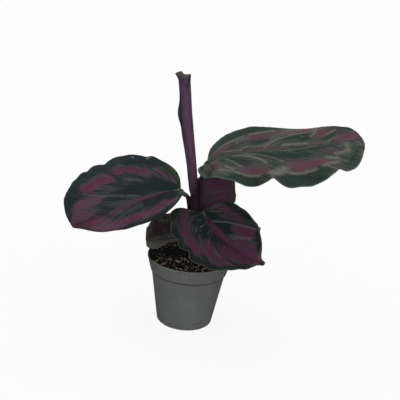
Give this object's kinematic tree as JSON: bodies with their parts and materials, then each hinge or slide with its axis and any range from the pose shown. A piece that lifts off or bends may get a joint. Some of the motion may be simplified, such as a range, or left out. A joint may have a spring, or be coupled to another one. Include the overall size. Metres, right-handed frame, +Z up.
{
  "type": "potted calathea",
  "caption": "Young prayer plant in a small round nursery pot, with patterned waved leaves on slim stalks and one new leaf still rolled upright.",
  "frame": {"origin": "centre of the pot's flat underside, on the surface that the pot stands on", "axes": "+Z up; +X to the viewer's right, along the longest leaf; -Y towards the viewer, the side that the front leaf hangs over"},
  "size_m": [0.1876, 0.0927, 0.178],
  "materials": {
    "pot_plastic": "matt light grey moulded plastic",
    "potting_soil": "dark moist peat mix with bark chips and fibres",
    "rootstock": "matt fibrous brown",
    "left_leaf": "satin dark green with a pink feathered ring",
    "right_leaf": "satin grey-green with pink and cream streaks",
    "front_leaf": "satin dark green and pink with glossy highlights",
    "back_leaf": "satin wine pink with an olive edge",
    "small_leaf": "matt olive and purple-brown",
    "rolled_leaf": "satin dusty purple"
  },
  "bodies": {
    "root": {"pot": "pot_plastic", "soil": "potting_soil", "crown": "rootstock", "leaf_rolled": "rolled_leaf", "leaf_left": "left_leaf", "leaf_right": "right_leaf", "leaf_front": "front_leaf", "leaf_back": "back_leaf", "leaf_small": "small_leaf"}
  },
  "joints": []
}
